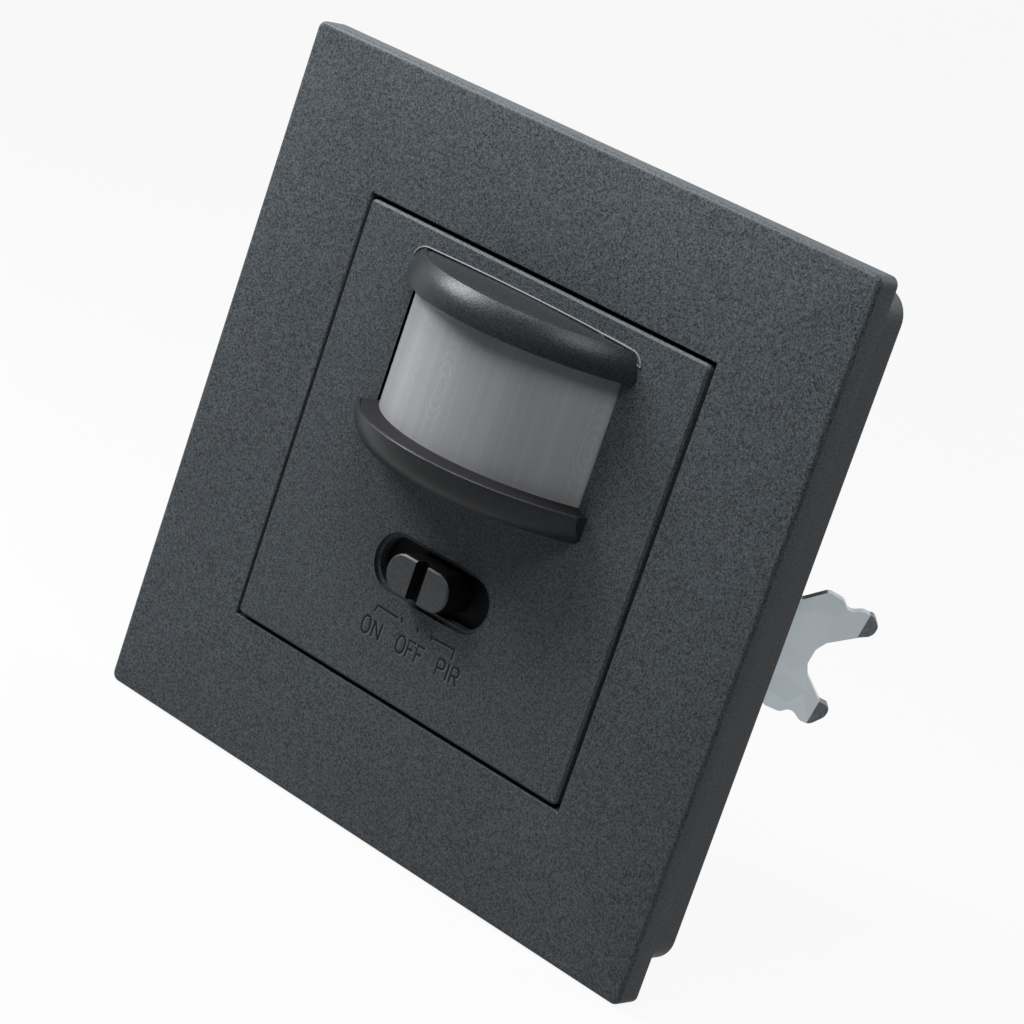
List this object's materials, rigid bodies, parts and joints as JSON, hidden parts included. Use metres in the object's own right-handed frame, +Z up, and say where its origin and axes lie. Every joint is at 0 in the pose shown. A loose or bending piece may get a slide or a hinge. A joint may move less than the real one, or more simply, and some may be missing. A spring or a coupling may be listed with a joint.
{
  "type": "motion detector wall switch",
  "caption": "Flush motion detector insert with a square frame, hooded curved lens, slide switch and spreading claws.",
  "frame": {"origin": "centre of the support ring's back face, on the wall plane", "axes": "front looks along -Y, +Z up, +X to the right seen from the front"},
  "size_m": [0.08, 0.0482, 0.08],
  "materials": {
    "frame_plastic": "fine grained anthracite",
    "cover_plastic": "fine grained anthracite",
    "lens_plastic": "translucent grey with fine ribs inside",
    "knob_plastic": "fine grained anthracite",
    "switch_plastic": "moulded",
    "housing_plastic": "moulded",
    "component_plastic": "moulded",
    "block_plastic": "moulded",
    "board": "solder mask",
    "ring_steel": "zinc plated",
    "claw_steel": "zinc plated",
    "screw_steel": "zinc plated",
    "can_metal": "drawn",
    "disc_coat": "dipped",
    "terminal_brass": "turned and pressed"
  },
  "bodies": {
    "base": {"front_frame": "frame_plastic", "rear_frame": "frame_plastic", "support_ring": "ring_steel", "ring_screw_1": "screw_steel", "ring_screw_2": "screw_steel", "centre_cover": "cover_plastic", "sensor_lens": "lens_plastic", "slide_switch_body": "component_plastic", "front_housing": "housing_plastic", "sensor_board": "board", "sensor_holder": "component_plastic", "infrared_sensor": "can_metal", "light_sensor": "component_plastic", "time_trimmer_body": "component_plastic", "light_trimmer_body": "component_plastic", "pin_header": "component_plastic", "back_housing": "housing_plastic", "main_board": "board", "relay": "component_plastic", "film_capacitor": "component_plastic", "electrolytic_capacitor": "can_metal", "varistor": "disc_coat", "terminal_block": "block_plastic"},
    "slider": {"slider_knob": "knob_plastic", "switch_actuator": "switch_plastic"},
    "time_rotor": {"time_trimmer_rotor": "switch_plastic"},
    "light_rotor": {"light_trimmer_rotor": "switch_plastic"},
    "right_screw": {"claw_screw_right": "screw_steel"},
    "left_screw": {"claw_screw_left": "screw_steel"},
    "right_claw": {"claw_right": "claw_steel"},
    "left_claw": {"claw_left": "claw_steel"},
    "right_nut": {"claw_nut_right": "screw_steel"},
    "left_nut": {"claw_nut_left": "screw_steel"},
    "screw_1": {"terminal_screw_1": "terminal_brass"},
    "clamp_1": {"terminal_clamp_1": "terminal_brass"},
    "screw_2": {"terminal_screw_2": "terminal_brass"},
    "clamp_2": {"terminal_clamp_2": "terminal_brass"},
    "screw_3": {"terminal_screw_3": "terminal_brass"},
    "clamp_3": {"terminal_clamp_3": "terminal_brass"}
  },
  "joints": [
    {"name": "knob_slide", "type": "slide", "parent": "base", "child": "slider", "axis": [1, 0, 0], "range_m": [-0.00235, 0.00235]},
    {"name": "time_trimmer_turn", "type": "hinge", "parent": "base", "child": "time_rotor", "pos_m": [-0.0146, -0.0062, -0.0184], "axis": [0, -1, 0], "range_deg": [-135, 135]},
    {"name": "light_trimmer_turn", "type": "hinge", "parent": "base", "child": "light_rotor", "pos_m": [0.0146, -0.0062, -0.0184], "axis": [0, -1, 0], "range_deg": [-135, 135]},
    {"name": "right_claw_swing", "type": "hinge", "parent": "base", "child": "right_claw", "pos_m": [0.01756, 0.00055, 0.00059], "axis": [0.1959, 0, 0.9806], "range_deg": [0, 40]},
    {"name": "left_claw_swing", "type": "hinge", "parent": "base", "child": "left_claw", "pos_m": [-0.01756, 0.00055, 0.00059], "axis": [0.1959, 0, -0.9806], "range_deg": [0, 40]},
    {"name": "right_claw_screw_turn", "type": "hinge", "parent": "base", "child": "right_screw", "pos_m": [0.0205, 0, 0], "axis": [0, -1, 0], "range_deg": [0, 3061]},
    {"name": "left_claw_screw_turn", "type": "hinge", "parent": "base", "child": "left_screw", "pos_m": [-0.0205, 0, 0], "axis": [0, -1, 0], "range_deg": [0, 3061]},
    {"name": "right_nut_travel", "type": "slide", "parent": "base", "child": "right_nut", "axis": [0, 1, 0], "range_m": [0, 0.00595]},
    {"name": "left_nut_travel", "type": "slide", "parent": "base", "child": "left_nut", "axis": [0, 1, 0], "range_m": [0, 0.00595]},
    {"name": "clamp_1_rise", "type": "slide", "parent": "base", "child": "clamp_1", "axis": [0, 1, 0], "range_m": [0, 0.002]},
    {"name": "terminal_screw_1_turn", "type": "hinge", "parent": "base", "child": "screw_1", "pos_m": [-0.008, 0.0254, -0.0142], "axis": [0, -1, 0], "range_deg": [0, 1030]},
    {"name": "clamp_2_rise", "type": "slide", "parent": "base", "child": "clamp_2", "axis": [0, 1, 0], "range_m": [0, 0.002]},
    {"name": "terminal_screw_2_turn", "type": "hinge", "parent": "base", "child": "screw_2", "pos_m": [0, 0.0254, -0.0142], "axis": [0, -1, 0], "range_deg": [0, 1030]},
    {"name": "clamp_3_rise", "type": "slide", "parent": "base", "child": "clamp_3", "axis": [0, 1, 0], "range_m": [0, 0.002]},
    {"name": "terminal_screw_3_turn", "type": "hinge", "parent": "base", "child": "screw_3", "pos_m": [0.008, 0.0254, -0.0142], "axis": [0, -1, 0], "range_deg": [0, 1030]}
  ],
  "couplings": [
    {"joint": "right_claw_screw_turn", "follows": "right_claw_swing", "ratio": 76.5},
    {"joint": "right_nut_travel", "follows": "right_claw_swing", "m_per_rad": 0.00852},
    {"joint": "left_claw_screw_turn", "follows": "left_claw_swing", "ratio": 76.5},
    {"joint": "left_nut_travel", "follows": "left_claw_swing", "m_per_rad": 0.00852},
    {"joint": "terminal_screw_1_turn", "follows": "clamp_1_rise", "rad_per_m": 8976},
    {"joint": "terminal_screw_2_turn", "follows": "clamp_2_rise", "rad_per_m": 8976},
    {"joint": "terminal_screw_3_turn", "follows": "clamp_3_rise", "rad_per_m": 8976}
  ]
}
